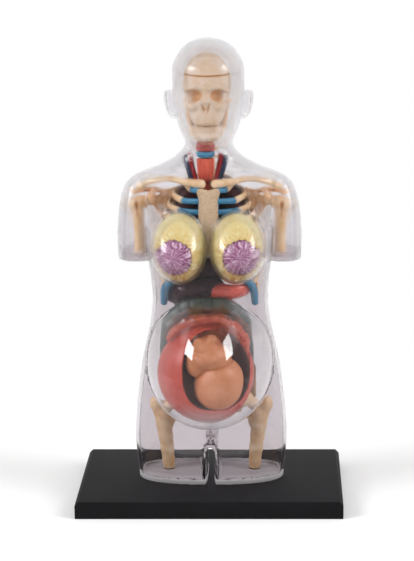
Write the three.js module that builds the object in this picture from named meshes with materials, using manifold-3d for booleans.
// Pregnancy torso model: a clear figure of a woman on a flat base, which comes apart into shells,
// bones and organs. Millimetres, +Z up, the front looks along -Y, and the origin is the centre of
// the underside of the base plate.
import * as THREE from 'three';
import { mergeVertices } from 'three/addons/utils/BufferGeometryUtils.js';
import Module from 'manifold-3d';

const wasm = await Module();
wasm.setup();

// Clearances
const fit = 0.3;

// Base plate
const baseWidth = 170;
const baseDepth = 102;
const baseThickness = 11.5;
const baseBevelWidth = 2.3;
const baseBevelHeight = 2.5;
const pegRadius = 3.2;
const pegHeight = 2.7;

// Clear shells
const wall = 1.8;
const seamY = 4;
const legGap = 3.5;
const crotchHeight = 37;
const armEndZ = 157.5;
const armpitZ = 177;
const capPlate = 3;
const capCollar = 1.2;
const capCollarHeight = 2.6;
const armCapPlate = 2;
const armCapCollarHeight = 5.5;

// Belly opening and its cover
const bellyZ = 92;
const bellyHalfWidth = 40;
const bellyUp = 46;
const bellyDown = 42.5;
const bellyApexY = -62;
const bellyRimWidth = 2.4;
const bellyRimProud = 0.7;

// Breasts
const breastX = 18.2;
const breastZ = 169.5;
const breastHalfWidth = 18.2;
const breastHalfHeight = 23.4;
const breastReach = 27.5;
const breastBackY = -20.6;
const breastDraft = 1.2;
const glandX = breastX + 2.4;
const glandZ = breastZ - 3;
const glandRadius = 10.6;
const glandDepth = 7;
const glandLobes = 11;

// Head
const skullZ = 269.5;
const skullY = 2.4;
const skullHalfWidth = 15.9;
const skullHalfDepth = 18.1;
const skullHalfHeight = 19.5;
const skullWall = 2;
const skullCutZ = 276;

// Spine and ribs
const spineTop = 250;
const chestSpineTop = 213;
const chestSpineBottom = 142.2;
const lumbarBottom = 86;
const vertebraRadius = 4.6;
const ribPairs = 10;
const trueRibs = 7;
const ribThickness = 1.1;
const ribHeight = 1.7;
const firstRibZ = 203;
const ribPitch = 6.3;

// Uterus
const uterusCenter = [0, -22, 88];
const uterusRadii = [32.4, 26, 32.3];
const uterusWall = 2.6;
const windowX = 3.5;
const windowZ = 89.5;
const windowHalfWidth = 19;
const windowHalfHeight = 26.5;

// Gut
const colonRadius = 5.2;
const gutRadius = 3.4;

// Limb bones
const femurX = 28;
const femurY = 6;
const humerusX = 44.9;
const humerusY = 6.5;

// Outline of head and trunk: height, half width, front and back of the section, squareness
const figure = [
  [baseThickness + capPlate + fit, 47.2, -19.5, 20.5, 2.5],
  [38, 49.4, -22.5, 26, 2.5],
  [56, 48.5, -25, 32.3, 2.5],
  [71, 46.9, -26.8, 34.5, 2.5],
  [87, 44.6, -27, 29.5, 2.5],
  [102, 41.5, -26.8, 21.8, 2.5],
  [117, 38.4, -26, 16.5, 2.4],
  [132, 37, -25, 15, 2.4],
  [146, 38, -24.1, 17, 2.3],
  [162, 40.1, -23.2, 21.5, 2.3],
  [180, 41.6, -22, 25.6, 2.3],
  [195, 45, -19.4, 27, 2.3],
  [205, 46.6, -17, 26, 2.2],
  [210, 45.4, -16, 24.8, 2.2],
  [213.5, 40.8, -14, 23.5, 2],
  [217.5, 31.4, -11.6, 22, 2],
  [223, 21.4, -9.8, 20.2, 2],
  [229.5, 15.6, -10.5, 19.5, 2],
  [232.5, 14.8, -17, 19.8, 2],
  [237, 16.7, -21.5, 22, 2],
  [245, 19.6, -23, 26, 2],
  [256, 21.9, -23.4, 29.8, 2],
  [268, 22.5, -23, 31, 2],
  [279.5, 22.3, -21.3, 29.6, 2],
  [288, 18.7, -16.5, 24.8, 2],
  [294.5, 12.3, -7.5, 16, 2],
];
const crownZ = 297.6;

// Outline of the left arm stump: height, middle, half width, half depth
const armOutline = [
  [armEndZ, 46.8, 11.6, 13.5],
  [173, 46.8, 11.9, 14.2],
  [188, 45.9, 11.7, 14.2],
  [199, 44.7, 10.9, 13.4],
  [205.5, 43, 10, 12],
  [210, 40.4, 8.2, 9.4],
];
const shoulderTop = [38, seamY, 213.2];

// Middle line of the spine, from the neck to the pelvis
const spineLine = [
  [spineTop, 9],
  [238, 9.3],
  [225, 10],
  [chestSpineTop, 12.5],
  [200, 17],
  [185, 18.3],
  [170, 16.5],
  [155, 12.8],
  [chestSpineBottom, 9],
  [131, 7.7],
  [118, 8.8],
  [106, 10.6],
  [93, 13.4],
  [80, 17],
  [50, 23],
];

// Finishes
const clearPlastic = { color: 0xe9e7ee, roughness: 0.08, metalness: 0, transparent: true, opacity: 0.35 };
const blackPlastic = { color: 0x2c2a30, roughness: 0.6, metalness: 0 };
const ivory = { color: 0xe3cdaa, roughness: 0.5, metalness: 0 };
const boneTan = { color: 0xd6bd97, roughness: 0.5, metalness: 0 };
const brainPink = { color: 0xd9a79a, roughness: 0.5, metalness: 0 };
const arteryRed = { color: 0x9c1f22, roughness: 0.35, metalness: 0 };
const throatRed = { color: 0xc04a34, roughness: 0.4, metalness: 0 };
const veinBlue = { color: 0x1d2a45, roughness: 0.35, metalness: 0 };
const cartilageBlue = { color: 0x3f86a8, roughness: 0.4, metalness: 0 };
const lungMaroon = { color: 0x3d1a1d, roughness: 0.35, metalness: 0 };
const heartRed = { color: 0x8a2620, roughness: 0.35, metalness: 0 };
const fatYellow = { color: 0xe8d26a, roughness: 0.45, metalness: 0 };
const glandPurple = { color: 0x8a3f86, roughness: 0.4, metalness: 0 };
const liverMaroon = { color: 0x2a1416, roughness: 0.25, metalness: 0 };
const stomachRed = { color: 0xb6473f, roughness: 0.35, metalness: 0 };
const colonGrey = { color: 0x464b46, roughness: 0.4, metalness: 0 };
const gutCoral = { color: 0xc9563f, roughness: 0.4, metalness: 0 };
const kidneyBrown = { color: 0x7c2f25, roughness: 0.4, metalness: 0 };
const uterusPink = { color: 0xb9504a, roughness: 0.4, metalness: 0 };
const placentaRed = { color: 0x6f1f24, roughness: 0.45, metalness: 0 };
const fetusSkin = { color: 0xcf8a5c, roughness: 0.45, metalness: 0 };
const bladderYellow = { color: 0xcda05c, roughness: 0.4, metalness: 0 };

// Turns a closed geometry into a solid that can be joined and cut.
function solidOf(geometry) {
  const plain = geometry.index ? geometry.clone() : geometry;
  plain.deleteAttribute('normal');
  plain.deleteAttribute('uv');
  const merged = mergeVertices(plain, 1e-4);
  return new wasm.Manifold(new wasm.Mesh({
    numProp: 3,
    vertProperties: new Float32Array(merged.attributes.position.array),
    triVerts: new Uint32Array(merged.index.array),
  }));
}

// Turns a solid back into a geometry.
function geometryOf(solid) {
  const { vertProperties, triVerts } = solid.getMesh();
  const geometry = new THREE.BufferGeometry();
  geometry.setAttribute('position', new THREE.BufferAttribute(new Float32Array(vertProperties), 3));
  geometry.setIndex(new THREE.BufferAttribute(new Uint32Array(triVerts), 1));
  geometry.computeVertexNormals();
  return geometry;
}

const vector = (x, y, z) => new THREE.Vector3(x, y, z);
const joined = (solids) => solids.reduce((sum, solid) => sum.add(solid));
const carved = (solid, cutters) => cutters.reduce((rest, cutter) => rest.subtract(cutter), solid);

// Keeps the largest body of a solid that a cut has left in several bodies.
function mainBody(solid) {
  const bodies = solid.decompose();
  return bodies.reduce((best, body) => (body.volume() > best.volume() ? body : best));
}

// Middle of a ring of points.
function centerOf(ring) {
  const sum = ring.reduce((total, point) => total.add(point), vector(0, 0, 0));
  return sum.multiplyScalar(1 / ring.length);
}

// Moves rings out by a distance along the surface normal, and their two end points with them.
function grownRings({ rings, start, end }, distance) {
  const count = rings[0].length;
  const grown = rings.map((ring, i) => ring.map((point, j) => {
    const around = ring[(j + 1) % count].clone().sub(ring[(j + count - 1) % count]);
    const above = i < rings.length - 1 ? rings[i + 1][j] : end;
    const below = i > 0 ? rings[i - 1][j] : start;
    const normal = around.cross(above.clone().sub(below)).normalize();
    return point.clone().addScaledVector(normal, distance);
  }));
  const first = start.clone().sub(centerOf(rings[1])).normalize();
  const last = end.clone().sub(centerOf(rings[rings.length - 2])).normalize();
  return {
    rings: grown,
    start: start.clone().addScaledVector(first, distance),
    end: end.clone().addScaledVector(last, distance),
  };
}

// Closed solid over rings that run counter-clockwise, seen from the end point.
function loft(form, distance = 0) {
  const { rings, start, end } = distance === 0 ? form : grownRings(form, distance);
  const count = rings[0].length;
  const points = [...rings.flat(), start, end];
  const startIndex = rings.length * count;
  const endIndex = startIndex + 1;
  const top = (rings.length - 1) * count;
  const index = [];
  for (let j = 0; j < count; j += 1) {
    const next = (j + 1) % count;
    index.push(startIndex, next, j, endIndex, top + j, top + next);
    for (let i = 0; i < rings.length - 1; i += 1) {
      const a = i * count + j;
      const b = i * count + next;
      index.push(a, b, b + count, a, b + count, a + count);
    }
  }
  const geometry = new THREE.BufferGeometry().setFromPoints(points);
  geometry.setIndex(index);
  return solidOf(geometry);
}

// Rings with flat ends.
const flatEnded = (rings) => ({ rings, start: centerOf(rings[0]), end: centerOf(rings[rings.length - 1]) });

// One level ring with its own front and back, rounded to a box by its squareness.
function levelRing(z, middle, half, front, back, squareness, count) {
  const power = 2 / squareness;
  const ring = [];
  for (let i = 0; i < count; i += 1) {
    const angle = (2 * Math.PI * (i + 0.5)) / count;
    const across = Math.sign(Math.cos(angle)) * Math.abs(Math.cos(angle)) ** power;
    const along = Math.sign(Math.sin(angle)) * Math.abs(Math.sin(angle)) ** power;
    const depth = along < 0 ? seamY - front : back - seamY;
    ring.push(vector(middle + half * across, seamY + depth * along, z));
  }
  return ring;
}

// Ellipsoid as rings, with its poles on the X, Y or Z axis and turned by Euler angles in degrees.
function ellipsoidForm(center, radii, rows, count, turn = [0, 0, 0]) {
  const euler = new THREE.Euler(...turn.map((angle) => THREE.MathUtils.degToRad(angle)));
  const place = (x, y, z) => vector(x * radii[0], y * radii[1], z * radii[2]).applyEuler(euler)
    .add(vector(...center));
  const rings = [];
  for (let i = 1; i < rows; i += 1) {
    const tilt = -Math.PI / 2 + (Math.PI * i) / rows;
    const ring = [];
    for (let j = 0; j < count; j += 1) {
      const angle = (2 * Math.PI * (j + 0.5)) / count;
      ring.push(place(Math.cos(tilt) * Math.cos(angle), Math.cos(tilt) * Math.sin(angle), Math.sin(tilt)));
    }
    rings.push(ring);
  }
  return { rings, start: place(0, 0, -1), end: place(0, 0, 1) };
}

const ellipsoid = (center, radii, rows, count, grow = 0, turn = [0, 0, 0]) => (
  loft(ellipsoidForm(center, radii, rows, count, turn), grow));

// Round bar along a smooth curve through points, its radius read from a list along its length.
function bar(points, radii, steps, sides, grow = 0, flatness = 1, footRise = 0.35) {
  const curve = new THREE.CatmullRomCurve3(points.map((point) => vector(...point)));
  const frames = curve.computeFrenetFrames(steps, false);
  const radiusAt = (t) => {
    const place = t * (radii.length - 1);
    const step = Math.min(Math.floor(place), radii.length - 2);
    return THREE.MathUtils.lerp(radii[step], radii[step + 1], place - step);
  };
  const rings = [];
  for (let i = 0; i <= steps; i += 1) {
    const center = curve.getPointAt(i / steps);
    const radius = radiusAt(i / steps);
    const ring = [];
    for (let j = 0; j < sides; j += 1) {
      const angle = (2 * Math.PI * (j + 0.5)) / sides;
      ring.push(center.clone()
        .addScaledVector(frames.normals[i], radius * Math.cos(angle))
        .addScaledVector(frames.binormals[i], radius * flatness * Math.sin(angle)));
    }
    rings.push(ring);
  }
  const start = centerOf(rings[0]).addScaledVector(frames.tangents[0], -radii[0] * footRise);
  const last = radii[radii.length - 1];
  const end = centerOf(rings[steps]).addScaledVector(frames.tangents[steps], last * 0.35);
  return loft({ rings, start, end }, grow);
}

// Box between two corners.
function block(low, high) {
  const size = high.map((value, axis) => value - low[axis]);
  const geometry = new THREE.BoxGeometry(...size);
  geometry.translate(...low.map((value, axis) => value + size[axis] / 2));
  return solidOf(geometry);
}

// Upright round post.
function post(x, y, low, high, radius, sides) {
  const geometry = new THREE.CylinderGeometry(radius, radius, high - low, sides);
  geometry.rotateX(Math.PI / 2);
  geometry.translate(x, y, (low + high) / 2);
  return solidOf(geometry);
}

// Egg-shaped column along Y, for the belly opening and the window of the uterus.
function eggColumn(x, z, half, up, down, front, back, count) {
  const ring = (y) => {
    const points = [];
    for (let i = 0; i < count; i += 1) {
      const angle = (2 * Math.PI * (i + 0.5)) / count;
      const rise = Math.sin(angle) > 0 ? up : down;
      points.push(vector(x + half * Math.cos(angle), y, z + rise * Math.sin(angle)));
    }
    return points;
  };
  return loft(flatEnded([ring(back), ring(front)]));
}

// Value of a column of the figure's outline at a height, in straight steps between its rows.
function figureAt(z, column) {
  const above = Math.max(1, figure.findIndex((row) => row[0] >= z));
  const [low, high] = [figure[above - 1], figure[above]];
  const share = (z - low[0]) / (high[0] - low[0]);
  return THREE.MathUtils.lerp(low[column], high[column], share);
}

// Depth of the trunk's front surface at a place across and up.
function frontSurface(x, z) {
  const squareness = figureAt(z, 4);
  const side = Math.min(1, Math.abs(x) / figureAt(z, 1)) ** squareness;
  return seamY - (seamY - figureAt(z, 2)) * (1 - side) ** (1 / squareness);
}

// Depth of the middle line of the spine at a height.
function spineY(z) {
  const below = Math.max(1, spineLine.findIndex((row) => row[0] <= z));
  const [high, low] = [spineLine[below - 1], spineLine[below]];
  return THREE.MathUtils.lerp(low[1], high[1], (z - low[0]) / (high[0] - low[0]));
}

const figureSides = 18;
const armSides = 10;
const bellySides = 24;
const spineSides = 6;
const far = 400;
const deckZ = baseThickness + capPlate + fit;

// Head, neck and trunk down to the ends of the thighs, before the legs are parted.
function trunk(grow, drop = 0) {
  const rings = figure.map(([z, half, front, back, squareness]) => (
    levelRing(z, 0, half, front, back, squareness, figureSides)));
  const start = vector(0, seamY, figure[0][0]);
  const form = grownRings({ rings, start, end: vector(0, seamY, crownZ) }, grow);
  form.start.z = figure[0][0] - drop;
  form.rings[0].forEach((point) => {
    point.z = figure[0][0] - drop;
  });
  return loft(form);
}

// Slot between the two legs, which opens towards the front and the back of the thighs.
function legSlot(grow) {
  const rows = [[-10, 1, 7], [20, 1, 6.5], [29, 1, 4.2], [34.5, 0.85, 1.8], [crotchHeight, 0.4, 0.6]];
  const reach = 60;
  const places = [-1, -0.45, -0.25, 0.25, 0.5, 1];
  const rings = rows.map(([z, share, flare]) => {
    const edge = places.map((place) => {
      const spread = Math.min(1, Math.abs(place * reach) / 28) ** 4;
      return [share * legGap / 2 + flare * spread, seamY + place * reach];
    });
    const right = edge.map(([x, y]) => vector(x, y, z));
    const left = edge.reverse().map(([x, y]) => vector(-x, y, z));
    return [...right, ...left];
  });
  const form = flatEnded(rings);
  form.end.z += 0.4;
  return loft(form, grow);
}

// Arm stump of one side.
function arm(side, grow, drop = 0) {
  const rings = armOutline.map(([z, middle, half, depth]) => (
    levelRing(z, side * middle, half, seamY - depth, seamY + depth, 2.2, armSides)));
  const top = vector(side * shoulderTop[0], shoulderTop[1], shoulderTop[2]);
  const start = vector(side * armOutline[0][1], seamY, armEndZ);
  const form = grownRings({ rings, start, end: top }, grow);
  form.start.z = armEndZ - drop;
  form.rings[0].forEach((point) => {
    point.z = armEndZ - drop;
  });
  return loft(form);
}

const breastCenter = (side) => [side * breastX, breastBackY + 0.6, breastZ];
const breastDome = (side, inset, draft = 0) => ellipsoid(
  breastCenter(side),
  [breastHalfWidth - inset - draft, breastReach - inset, breastHalfHeight - inset - draft],
  6, 12,
);

// Whole clear figure as a hollow body, before it is parted along the seam.
function hollowFigure() {
  const below = block([-far, -far, -far], [far, far, armpitZ]);
  const trunkOutside = trunk(0);
  const armWallSide = trunkOutside.intersect(below);
  const ear = (side) => ellipsoid([side * 23.2, seamY + 2.5, 256], [4.3, 5.4, 8.6], 4, 7, 0, [12, 0, 0]);
  const nose = ellipsoid([0, -22.6, 254], [3.1, 4.6, 6.2], 4, 6, 0, [-12, 0, 0]);
  const outside = carved(
    joined([
      trunkOutside, arm(1, 0), arm(-1, 0), breastDome(1, 0), breastDome(-1, 0), ear(1), ear(-1), nose,
    ]),
    [legSlot(0)],
  );
  const armHollow = (side) => arm(side, -wall, 5).subtract(armWallSide);
  const trunkHollow = trunk(-wall, 5).subtract(legSlot(wall));
  const inside = joined([
    trunkHollow, armHollow(1), armHollow(-1), breastDome(1, wall), breastDome(-1, wall),
  ]);
  return outside.subtract(inside);
}

function shells() {
  const body = hollowFigure();
  const frontHalf = body.intersect(block([-far, -far, -far], [far, seamY - fit / 2, far]));
  const backHalf = body.intersect(block([-far, seamY + fit / 2, -far], [far, far, far]));
  const opening = eggColumn(0, bellyZ, bellyHalfWidth, bellyUp, bellyDown, -far, 0, bellySides);
  return { front: mainBody(frontHalf.subtract(opening)), back: mainBody(backHalf) };
}

// Clear dome over the belly: its rim lies on the trunk's front surface, with a raised bead.
function bellyCover() {
  const count = bellySides;
  const levelY = frontSurface(0, bellyZ);
  const surface = (share, angle, inset) => {
    const rise = Math.sin(angle) > 0 ? bellyUp : bellyDown;
    const rimX = (bellyHalfWidth - fit) * Math.cos(angle);
    const rimZ = (rise - fit) * Math.sin(angle);
    const rimY = frontSurface(rimX, bellyZ + rimZ);
    const bulge = (levelY - bellyApexY) * Math.sqrt(1 - share ** 2);
    const y = rimY * share ** 2 + levelY * (1 - share ** 2) - bulge;
    const lean = inset * (0.35 + 0.65 * Math.sqrt(1 - share ** 2));
    return vector(rimX * share, y + inset + (inset > 0 ? inset - lean : 0), bellyZ + rimZ * share);
  };
  const ringOf = (share, inset, forward = 0) => {
    const ring = [];
    for (let i = 0; i < count; i += 1) {
      const point = surface(share, (2 * Math.PI * (i + 0.5)) / count, inset);
      point.y -= forward;
      ring.push(point);
    }
    return ring;
  };
  const rimShare = 1 - bellyRimWidth / bellyHalfWidth;
  const insideShares = [0.35, 0.64, 0.84, rimShare];
  const outsideShares = [rimShare, 0.84, 0.64, 0.35];
  const rings = [
    ...insideShares.map((share) => ringOf(share, wall)),
    ringOf(1, wall),
    ringOf(1, 0, bellyRimProud),
    ringOf(rimShare, 0, bellyRimProud),
    ...outsideShares.map((share) => ringOf(share * 0.995, 0)),
  ];
  const start = vector(0, bellyApexY + wall, bellyZ);
  const end = vector(0, bellyApexY, bellyZ);
  return loft({ rings, start, end });
}

// Section of the thighs as a flat plate between two heights, inset from the outside.
function legPlate(side, low, high, inset) {
  const [, half, front, back, squareness] = figure[0];
  const rings = [low, high].map((z) => levelRing(
    z, 0, half - inset, front + inset, back - inset, squareness, figureSides));
  const slab = loft(flatEnded(rings)).subtract(legSlot(inset));
  const keep = side > 0 ? [[0, -far, -far], [far, far, far]] : [[-far, -far, -far], [0, far, far]];
  return slab.intersect(block(...keep));
}

// Plate under one thigh, with a collar that centres the shells and a hole for the peg.
function legCap(side) {
  const plateTop = baseThickness + capPlate;
  const collarTop = plateTop + capCollarHeight;
  const overlap = 0.5;
  const collar = legPlate(side, plateTop - overlap, collarTop, wall + fit)
    .subtract(legPlate(side, plateTop - 2 * overlap, collarTop + overlap, wall + fit + capCollar));
  const hole = post(side * femurX, femurY, 0, collarTop + 1, pegRadius + fit, 16);
  return legPlate(side, baseThickness, plateTop, 0).add(collar).subtract(hole);
}

// Plug in the end of one arm stump, a shallow cup.
function armCap(side) {
  const innerX = figureAt(armEndZ + armCapCollarHeight, 1) + fit;
  const trunkSide = block([-innerX, -far, -far], [innerX, far, far]);
  const cup = (low, high, inset) => {
    const [, middle, half, depth] = armOutline[0];
    const rings = [low, high].map((z) => levelRing(
      z, side * middle, half - inset, seamY - depth + inset, seamY + depth - inset, 2.2, armSides));
    return loft(flatEnded(rings)).subtract(trunkSide);
  };
  const outside = cup(armEndZ, armEndZ + armCapCollarHeight, wall + fit);
  const inside = cup(armEndZ + armCapPlate, armEndZ + armCapCollarHeight + 1, wall + fit + capCollar);
  return mainBody(outside.subtract(inside));
}

// Base plate with bevelled left and right edges and the two pegs.
function basePlate() {
  const half = baseWidth / 2;
  const outline = new THREE.Shape([
    new THREE.Vector2(-half, 0),
    new THREE.Vector2(half, 0),
    new THREE.Vector2(half, baseThickness - baseBevelHeight),
    new THREE.Vector2(half - baseBevelWidth, baseThickness),
    new THREE.Vector2(-half + baseBevelWidth, baseThickness),
    new THREE.Vector2(-half, baseThickness - baseBevelHeight),
  ]);
  const plate = new THREE.ExtrudeGeometry(outline, { depth: baseDepth, bevelEnabled: false });
  plate.rotateX(Math.PI / 2);
  plate.translate(0, baseDepth / 2, 0);
  const peg = (side) => post(
    side * femurX, femurY, baseThickness - 1, baseThickness + pegHeight, pegRadius, 16);
  return joined([solidOf(plate), peg(1), peg(-1)]);
}

// Part of the spine: drums with a waist, one for each vertebra, and a process behind each.
function spinePart(low, high, count, radius, grow = 0) {
  const pitch = (high - low) / count;
  const rings = [];
  for (let i = 0; i < count; i += 1) {
    const foot = low + pitch * i;
    [[0.2, 1], [0.7, 0.82]].forEach(([share, width]) => {
      const z = foot + pitch * share;
      const ring = [];
      for (let j = 0; j < spineSides; j += 1) {
        const angle = (2 * Math.PI * (j + 0.5)) / spineSides;
        ring.push(vector(
          radius * width * Math.cos(angle), spineY(z) + radius * 0.86 * width * Math.sin(angle), z));
      }
      rings.push(ring);
    });
  }
  const start = vector(0, spineY(low), low);
  const end = vector(0, spineY(high), high);
  return loft({ rings, start, end }, grow);
}

// Places of one rib: its back end on the spine and its bend round the side to the front.
function ribPlan(index) {
  const upper = Math.min(1, index / 4);
  const half = THREE.MathUtils.lerp(15, 30, Math.sqrt(upper));
  const depth = THREE.MathUtils.lerp(11.5, 16.5, Math.sqrt(upper));
  const vertebra = (chestSpineTop - chestSpineBottom) / 12;
  const backZ = chestSpineTop - vertebra * (index + 0.5);
  const isTrue = index < trueRibs;
  const frontZ = isTrue ? firstRibZ - ribPitch * index : 152 - 8 * (index - trueRibs);
  const endAngle = isTrue ? -53 : -30 + 8 * (index - trueRibs);
  return { half, depth, backZ, frontZ, endAngle, middleY: spineY(backZ) - depth + 0.5 };
}

function ribPoint(plan, side, degrees, share) {
  const angle = THREE.MathUtils.degToRad(degrees);
  const z = THREE.MathUtils.lerp(plan.backZ, plan.frontZ, share);
  return [side * plan.half * Math.cos(angle), plan.middleY + plan.depth * Math.sin(angle), z];
}

function rib(index, side, grow = 0) {
  const plan = ribPlan(index);
  const points = [0, 0.2, 0.4, 0.6, 0.8, 1].map((share) => (
    ribPoint(plan, side, THREE.MathUtils.lerp(84, plan.endAngle, share), share ** 1.2)));
  return bar(points, [ribHeight, ribHeight], 4, 4, grow, ribThickness / ribHeight);
}

function ribCage(grow = 0) {
  const parts = [spinePart(chestSpineBottom + fit / 2, chestSpineTop - fit / 2, 12, vertebraRadius, grow)];
  for (let index = 0; index < ribPairs; index += 1) {
    parts.push(rib(index, 1, grow), rib(index, -1, grow));
  }
  return joined(parts);
}

const lumbarSpine = (grow = 0) => (
  spinePart(lumbarBottom, chestSpineBottom - fit / 2, 5, vertebraRadius + 0.6, grow));
const neckSpine = (grow = 0) => spinePart(chestSpineTop + fit / 2, spineTop, 7, vertebraRadius - 0.8, grow);

// Breast bone: a tapering plate that leans forward towards its lower end.
const sternumTop = 205.5;
const sternumBottom = 163;
const sternumThickness = 2.4;
const sternumFace = (z) => THREE.MathUtils.lerp(-20, -14.3, (z - 166) / (sternumTop - 166));

function sternum(grow = 0) {
  const rows = [[sternumBottom, 1.4], [170, 2.4], [178, 5.4], [190, 6.3], [199, 6.2], [sternumTop, 7]];
  const rings = rows.map(([z, half]) => {
    const face = sternumFace(z);
    const back = face + sternumThickness;
    return [
      vector(half, face + 0.6, z), vector(half, back - 0.4, z), vector(0, back, z),
      vector(-half, back - 0.4, z), vector(-half, face + 0.6, z), vector(0, face, z),
    ];
  });
  return loft(flatEnded(rings), grow);
}

// Rib cartilages of one side: a margin along the breast bone and down the flank, with a bar to each rib.
function cartilages(side, grow = 0) {
  const margin = [
    [8.3, sternumFace(204) + 1.6, 204], [7.7, sternumFace(188) + 1.6, 188],
    [5.6, sternumFace(174) + 1.8, 174], [5, -17.2, 164], [10, -17, 157],
    [19, -15.6, 150], [27.4, -11.8, 142], [29.4, -9.4, 130],
  ].map(([x, y, z]) => [side * x, y, z]);
  const parts = [bar(margin, [1, 1, 1.1, 1.3, 1.6, 1.8, 1.8], 8, 4, grow)];
  for (let index = 0; index < trueRibs; index += 1) {
    const plan = ribPlan(index);
    const rim = ribPoint(plan, side, plan.endAngle - 6.5, 1.04);
    const innerX = THREE.MathUtils.lerp(8, 4.8, Math.max(0, (188 - plan.frontZ) / 24));
    const innerZ = plan.frontZ + 0.6;
    const face = sternumFace(innerZ);
    const line = [rim, [side * (innerX + 3), face + 2, innerZ], [side * innerX, face + 1.7, innerZ]];
    parts.push(bar(line, [ribHeight * 0.95, ribHeight * 0.9], 2, 4, grow, 0.65));
  }
  return joined(parts);
}

function clavicle(side, grow = 0) {
  const line = [[3.6, -10.9, 207.6], [12, -10.2, 208.8], [24, -4.6, 209.8], [36, 1, 207.4], [45, 3, 203.4]];
  const bone = bar(line.map(([x, y, z]) => [side * x, y, z]), [2.5, 2.1, 1.8, 1.8, 2], 7, 6, grow);
  return bone.subtract(sternum(fit));
}

function humerus(side, grow = 0) {
  const foot = armEndZ + armCapPlate + fit;
  const line = [[0, 0, foot], [0, 0, foot + 6], [0.4, 0, 184], [0.9, 0, 191], [0.6, 0, 196.5]];
  return bar(
    line.map(([x, y, z]) => [side * (humerusX + x), humerusY + y, z]),
    [3.6, 3.3, 3.9, 5.9, 3.6], 7, 7, grow, 1, 0);
}

// Shoulder blade: a three-cornered plate with its spine, socket and front hook.
function scapula(side) {
  const corner = ([x, y, z]) => vector(side * x, y, z);
  const corners = [[23.5, 19.2, 199.5], [27.5, 17.2, 176], [36.5, 9.6, 194]];
  const order = side > 0 ? corners : [...corners].reverse();
  const front = order.map(([x, y, z]) => corner([x, y - 0.9, z]));
  const back = order.map(([x, y, z]) => corner([x, y + 0.9, z]));
  const plate = loft(flatEnded([back, front]));
  const place = (points) => points.map(([x, y, z]) => [side * x, y, z]);
  const spineEdge = place([[25, 18.6, 196], [35, 14.6, 199.6], [43, 9.4, 200.4], [48.4, 6.4, 198.8]]);
  const spine = bar(spineEdge, [1.3, 1.7, 1.9, 2], 5, 5);
  const socket = ellipsoid([side * 37.4, 8, 194.8], [3, 3.6, 4.6], 4, 7);
  const hook = bar(place([[36.5, 9, 197.5], [35.6, 3, 200.6], [37.5, -2.4, 197.6]]), [2, 1.6, 1.7], 4, 5);
  return mainBody(carved(joined([plate, spine, socket, hook]), [humerus(side, fit), clavicle(side, fit)]));
}

function femur(side, grow = 0) {
  const across = (points) => points.map(([x, z]) => [side * x, femurY, z]);
  const shaft = bar(
    across([
      [femurX, deckZ], [femurX + 0.6, 24], [femurX + 2, 37],
      [femurX + 3.2, 48], [femurX + 5.6, 57], [femurX + 7.6, 64],
    ]),
    [3.6, 4.3, 4.7, 5.8, 6.2, 3], 8, 7, grow, 1, 0);
  const neck = bar(across([[femurX + 3, 54], [23.6, 62]]), [4, 3.4], 1, 6, grow);
  return joined([shaft, neck, ellipsoid([side * 22.6, femurY, 62.6], [4.9, 4.9, 4.9], 4, 7, grow)]);
}

// Pelvis with the sacrum: two wings, sockets for the thigh bones and the arch in front.
function pelvis(grow = 0) {
  const sacrumRows = [[lumbarBottom - fit, 9], [74, 7.6], [62, 5.4], [50, 2.6]];
  const sacrum = loft(flatEnded(sacrumRows.reverse().map(([z, half]) => {
    const y = spineY(z) + 1.5;
    return [
      vector(half, y - 2, z), vector(half, y + 1.6, z), vector(0, y + 3.2, z),
      vector(-half, y + 1.6, z), vector(-half, y - 2, z), vector(0, y - 3.4, z),
    ];
  })), grow);
  const half = (side) => {
    const place = (points) => points.map(([x, y, z]) => [side * x, y, z]);
    const wingRows = [[7, 18.6, 70, 84], [17, 16.4, 64, 89], [25, 10, 62, 90], [28.5, 4, 64, 84]];
    const wing = loft(flatEnded(wingRows.map(([x, y, low, high]) => {
      const ring = [
        vector(x, y + 1.6, low), vector(x, y - 1.6, low), vector(x, y - 1, high), vector(x, y + 1, high),
      ];
      return side > 0 ? ring.reverse() : ring.map((point) => vector(-point.x, point.y, point.z));
    })), grow);
    const socket = ellipsoid([side * 18.6, femurY, 63.5], [7, 8, 8], 4, 7, grow);
    const pubis = bar(place([[17, 4, 61], [13.5, -2, 59.5], [10, -6, 58]]), [4, 3, 2.2], 2, 5, grow);
    const sitBone = bar(place([[18, 7, 60], [17, 8.6, 53.5]]), [4, 3], 1, 5, grow);
    return [wing, socket, pubis, sitBone];
  };
  return joined([sacrum, ...half(1), ...half(-1)]);
}

// Head bones.
const skullOutside = (inset, grow = 0) => ellipsoid(
  [0, skullY, skullZ],
  [skullHalfWidth - inset, skullHalfDepth - inset, skullHalfHeight - inset], 7, 12, grow);

function skull() {
  const face = loft(flatEnded([
    levelRing(246, 0, 7.2, -19.6, 2, 2.3, 10),
    levelRing(250, 0, 9.6, -20, 6, 2.3, 10),
    levelRing(255, 0, 13.2, -19, 12, 2.3, 10),
    levelRing(261, 0, 14.2, -18.2, 14, 2.3, 10),
    levelRing(270, 0, 14, -17, 14, 2.2, 10),
  ]));
  const orbit = (side) => ellipsoid([side * 7.6, -19, 264.6], [4.9, 7, 4.5], 4, 8);
  const nasal = ellipsoid([0, -21.5, 256.6], [2.5, 5, 4.6], 4, 6);
  const cheek = (side) => ellipsoid([side * 12.6, -3, 249.8], [3.6, 8.5, 5], 4, 7);
  const whole = carved(joined([skullOutside(0), face]), [
    skullOutside(skullWall), orbit(1), orbit(-1), nasal, cheek(1), cheek(-1), neckSpine(fit), mandible(fit),
  ]);
  return {
    base: mainBody(whole.intersect(block([-far, -far, -far], [far, far, skullCutZ - fit / 2]))),
    cap: mainBody(whole.intersect(block([-far, -far, skullCutZ + fit / 2], [far, far, far]))),
  };
}

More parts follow.
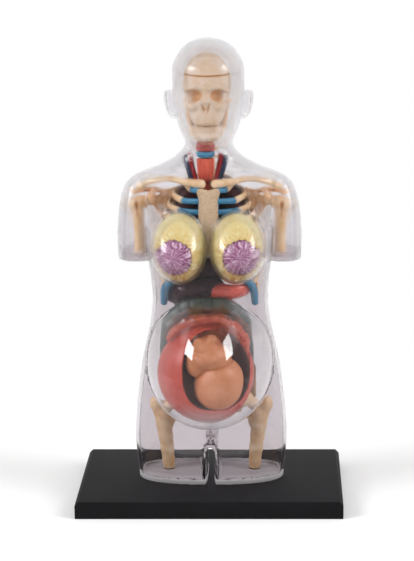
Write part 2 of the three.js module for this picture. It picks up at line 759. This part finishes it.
function mandible(grow = 0) {
  const line = [[-12, 0, 253.5], [-11.4, -2, 244], [-9, -8.6, 239.2], [-5, -14.2, 238.4], [0, -16, 238.3]];
  const mirrored = line.slice(0, -1).reverse().map(([x, y, z]) => [-x, y, z]);
  return bar([...line, ...mirrored], [1.7, 2.2, 2.5, 2.7, 2.5, 2.2, 1.7], 12, 6, grow);
}

// Throat
const tracheaTop = 221.3;
const trachea = (grow = 0) => (
  bar([[0, 2.4, 199.5], [0, 1.6, 210], [0, 0.8, tracheaTop - 1]], [2.6, 2.6], 5, 8, grow));

const thyroidGland = () => mainBody(carved(
  ellipsoid([0, -1.6, 216], [6.1, 4.6, 5], 4, 8),
  [trachea(fit), block([-far, 1.6, -far], [far, far, far])],
));

const throatRing = (z, half, front, back) => levelRing(z, 0, half, front, back, 2, 12);

const larynx = () => loft(flatEnded([
  throatRing(tracheaTop + fit, 5, -5.4, 5),
  throatRing(223.6, 5.7, -6.6, 5),
  throatRing(225.6, 5.5, -6, 5),
]));

const pharynx = () => mainBody(loft(flatEnded([
  throatRing(225.6 + fit, 5.8, -6.2, 7), throatRing(229.8, 5.8, -7, 7), throatRing(233.6, 4.4, -5, 7),
  throatRing(243, 3.6, -4, 6.6)])).subtract(neckSpine(fit)));

const carotid = (side, grow = 0) => bar(
  [[7.5, 2.4, 232], [8, 1.2, 224], [7.2, -0.8, 214], [5.4, -2.2, 208.4]]
    .map(([x, y, z]) => [side * x, y, z]),
  [1.35, 1.35], 6, 6, grow);
const jugular = (side) => bar(
  [[10.2, 4.6, 232], [11.4, 1.6, 223], [10.4, -0.9, 214], [8.4, -2.4, 208.4]]
    .map(([x, y, z]) => [side * x, y, z]),
  [1.45, 1.45], 6, 6);

// Chest organs
const heart = (grow = 0) => ellipsoid([1.5, -4.6, 176], [8.6, 7, 10.6], 6, 9, grow, [0, 24, 0]);

const diaphragmOutside = (grow = 0) => ellipsoid([0, -2.6, 138], [26.6, 12.6, 24], 6, 14, grow);

function diaphragm(grow = 0) {
  const outside = diaphragmOutside(grow);
  const inside = ellipsoid([0, -2.6, 138], [24.8, 10.8, 22], 6, 14, -grow);
  return mainBody(carved(outside.subtract(inside), [
    block([-far, -far, -far], [far, far, 150 - grow]),
    spinePart(chestSpineBottom, chestSpineTop, 12, vertebraRadius, fit + grow),
  ]));
}

function lung(side) {
  const rows = [[157, 13, 0.6, 10, 9], [166, 13.6, 1.5, 11.2, 11.4], [180, 13.6, 2, 11, 11.6],
    [192, 12.8, 3, 8.9, 10.2], [200, 11.4, 4, 7, 7.6], [204.6, 10.2, 4.6, 3.8, 4.2]];
  const rings = rows.map(([z, x, y, half, depth]) => {
    const ring = [];
    for (let j = 0; j < 10; j += 1) {
      const angle = (2 * Math.PI * (j + 0.5)) / 10;
      ring.push(vector(side * x + half * Math.cos(angle), y + depth * Math.sin(angle), z));
    }
    return ring;
  });
  const form = flatEnded(rings);
  form.end.z += 1.2;
  return mainBody(carved(loft(form), [heart(fit), diaphragmOutside(fit)]));
}

// Breasts
function glandSolid(side, grow) {
  const count = glandLobes * 2;
  const ring = (y, scale) => {
    const points = [];
    for (let i = 0; i < count; i += 1) {
      const angle = (2 * Math.PI * i) / count;
      const lobe = 1 + 0.05 * Math.cos(glandLobes * angle);
      const radius = (glandRadius * scale * lobe) + grow;
      points.push(vector(side * glandX + radius * Math.cos(angle), y, glandZ + radius * Math.sin(angle)));
    }
    return points;
  };
  const frontY = breastBackY + 0.6 - breastReach;
  return loft(flatEnded([ring(frontY + wall + fit + glandDepth + 2 + grow, 0.8), ring(frontY - 5, 1)]));
}

function breast(side) {
  const dome = breastDome(side, wall + fit, breastDraft);
  const flat = block([-far, -far, -far], [far, breastBackY, far]);
  const body = dome.intersect(flat);
  return {
    fat: mainBody(body.subtract(glandSolid(side, fit))),
    gland: mainBody(body.intersect(glandSolid(side, 0))),
  };
}

// Abdomen
const colonLine = [
  [-25.5, -4, 84], [-26.5, -3.4, 95], [-25.6, -8.5, 108], [-24, -12.6, 119],
  [-16, -16.4, 128.6], [0, -18, 131.4],
  [16, -16.6, 129.2], [24.6, -12.8, 119.4], [26.2, -8.5, 108], [27, -3.4, 95], [26, -4, 84],
];

function colon(grow = 0) {
  const bulges = [];
  for (let i = 0; i <= 22; i += 1) {
    bulges.push(colonRadius * (i % 2 === 0 ? 0.9 : 1));
  }
  return bar(colonLine, bulges, 22, 6, grow);
}

// Small intestine: level runs that fold back and forth over the uterus and down behind it.
function smallIntestine() {
  const runs = [[-29.6, 125.1, 12.5], [-12.4, 122, 12], [-3.6, 117.8, 12], [1.8, 110.4, 12]];
  const line = [];
  runs.forEach(([y, z, reach], run) => {
    const way = run % 2 === 0 ? 1 : -1;
    [-1, -0.6, -0.2, 0.2, 0.6, 1].forEach((share, i) => {
      line.push([way * share * reach, y + 2.4 * Math.abs(share), z + 0.7 * (i % 2 === 0 ? 1 : -1)]);
    });
  });
  const gut = bar(line, [gutRadius, gutRadius], 34, 5);
  return mainBody(carved(gut, [uterusBody(0, fit), colon(fit), lumbarSpine(fit)]));
}

const stomachForm = (grow = 0) => bar(
  [[19, 3, 143], [20.5, -5, 141.6], [15.5, -12.6, 140], [5, -14.4, 140.2], [-5, -12, 139.4]],
  [3.4, 6.8, 6, 4.6, 3.2], 7, 8, grow);

const stomach = () => mainBody(carved(
  stomachForm(),
  [cartilages(1, fit), diaphragm(fit), colon(fit), kidney(1, fit)],
));

function liver() {
  const rows = [[-24.5, -3, 137, 4, 4], [-20, -4.4, 138.4, 9, 7.4], [-12, -6.5, 140.2, 11.6, 8.4],
    [0, -8, 143, 10.6, 5.8], [9, -9, 146, 6.5, 3]];
  const rings = rows.map(([x, y, z, depth, height]) => {
    const ring = [];
    for (let j = 0; j < 10; j += 1) {
      const angle = (2 * Math.PI * (j + 0.5)) / 10;
      ring.push(vector(x, y + depth * Math.cos(angle), z + height * Math.sin(angle)));
    }
    return ring;
  });
  const form = flatEnded(rings);
  form.start.x -= 1.5;
  form.end.x += 1.5;
  return mainBody(carved(loft(form), [
    stomachForm(fit), colon(fit), kidney(-1, fit), kidney(1, fit), lumbarSpine(fit), diaphragm(fit),
    cartilages(1, fit), cartilages(-1, fit),
  ]));
}

const kidney = (side, grow = 0) => (
  ellipsoid([side * 9.8, 7, 127], [5.6, 4.2, 8.6], 6, 8, grow, [0, side * -10, 0]));

function uterusBody(inset, grow = 0) {
  return ellipsoid(uterusCenter, uterusRadii.map((radius) => radius - inset), 8, 14, grow);
}

const windowCutter = () => eggColumn(
  windowX, windowZ, windowHalfWidth, windowHalfHeight, windowHalfHeight, -far, uterusCenter[1], 18);

function uterus() {
  const peg = bar([[0, 0, 98], [0, 12, 98]], [3.4, 3.4], 2, 8);
  const whole = joined([uterusBody(0), peg]);
  return mainBody(carved(whole, [
    uterusBody(uterusWall), windowCutter(), lumbarSpine(fit), colon(fit), pelvis(fit),
  ]));
}

function placenta(grow = 0) {
  const disc = ellipsoid([-15, -7, 98], [12, 8, 13], 5, 10, grow, [0, 0, 30]);
  return mainBody(disc.intersect(uterusBody(uterusWall + fit)).subtract(
    ellipsoid([2, -28, 92], [24, 20, 24], 6, 10, -grow)));
}

// Fetus: head down, back bent, an arm beside the head and the legs folded over the belly.
function fetus() {
  const parts = [
    ellipsoid([6.6, -34, 82], [14.8, 13.6, 15.8], 7, 11, 0, [0, 18, 0]),
    bar([[2, -27, 93], [1, -25, 101], [4, -27, 109]], [8.6, 9.6, 8], 3, 8),
    bar([[-3, -33, 104], [-9.5, -35, 97], [-9, -38, 92]], [3.6, 3.6, 3], 3, 6),
    bar([[4, -30, 110], [-3, -36, 107], [5, -39.5, 102], [9, -38, 101]], [4.6, 4, 3.2, 2.8], 5, 6),
  ];
  return mainBody(carved(joined(parts), [placenta(fit)]));
}

// Clear post that stands on the crotch and carries the uterus.
const postY = -8;
const uterusPost = () => mainBody(
  post(0, postY, crotchHeight + wall + 0.4 + fit, 75, 3.2, 12).subtract(uterusBody(0, fit)));
const bladder = () => mainBody(carved(
  ellipsoid([0, 0.9, 53.4], [7.4, 5.8, 4.4], 5, 8),
  [post(0, postY, 0, 90, 3.2 + fit, 12), pelvis(fit), legSlot(wall + fit)],
));

// Brain: fills the hollow of the skull.
const brain = () => skullOutside(skullWall + fit);

function named(name, solid, finish) {
  const mesh = new THREE.Mesh(geometryOf(solid), new THREE.MeshStandardMaterial(finish));
  mesh.name = name;
  return mesh;
}

function group(...members) {
  const set = new THREE.Group();
  set.add(...members);
  return set;
}

const sides = [['left', 1], ['right', -1]];
const pair = (stem, make, finish) => (
  sides.map(([word, side]) => named(`${word}_${stem}`, make(side), finish)));

const { front, back } = shells();
const headBones = skull();

const shellGroup = group(
  named('back_shell', back, clearPlastic),
  named('front_shell', front, clearPlastic),
  named('belly_cover', bellyCover(), clearPlastic),
  named('uterus_post', uterusPost(), clearPlastic),
  ...pair('arm_cap', armCap, clearPlastic),
  ...pair('leg_cap', legCap, clearPlastic),
);

const boneGroup = group(
  named('skull', headBones.base, ivory),
  named('skull_cap', headBones.cap, ivory),
  named('mandible', mandible(), ivory),
  named('neck_spine', neckSpine(), ivory),
  named('rib_cage', ribCage(), ivory),
  named('lumbar_spine', lumbarSpine(), ivory),
  named('pelvis', mainBody(carved(pelvis(), [femur(1, fit), femur(-1, fit)])), ivory),
  named('sternum', sternum(), boneTan),
  ...pair('rib_cartilages', (side) => cartilages(side).subtract(sternum(fit)), cartilageBlue),
  ...pair('clavicle', clavicle, ivory),
  ...pair('scapula', scapula, ivory),
  ...pair('humerus', humerus, ivory),
  ...pair('femur', femur, ivory),
);

const throatGroup = group(
  named('pharynx', pharynx(), throatRed),
  named('larynx', larynx(), cartilageBlue),
  named('trachea', trachea(), throatRed),
  named('thyroid_gland', thyroidGland(), throatRed),
  ...pair('carotid_artery', carotid, arteryRed),
  ...pair('jugular_vein', jugular, veinBlue),
);

const organGroup = group(
  named('brain', brain(), brainPink),
  named('heart', heart(), heartRed),
  ...pair('lung', lung, lungMaroon),
  named('diaphragm', diaphragm(), lungMaroon),
  named('liver', liver(), liverMaroon),
  named('stomach', stomach(), stomachRed),
  named('large_intestine', colon(), colonGrey),
  named('small_intestine', smallIntestine(), gutCoral),
  ...pair('kidney', (side) => mainBody(kidney(side).subtract(lumbarSpine(fit))), kidneyBrown),
  named('uterus', uterus(), uterusPink),
  named('placenta', placenta(), placentaRed),
  named('fetus', fetus(), fetusSkin),
  named('bladder', bladder(), bladderYellow),
);

const breastGroup = group(...sides.flatMap(([word, side]) => {
  const { fat, gland } = breast(side);
  return [
    named(`${word}_breast_fat`, fat, fatYellow),
    named(`${word}_milk_gland`, gland, glandPurple),
  ];
}));

export default group(
  named('base_plate', basePlate(), blackPlastic),
  shellGroup,
  boneGroup,
  throatGroup,
  organGroup,
  breastGroup,
);
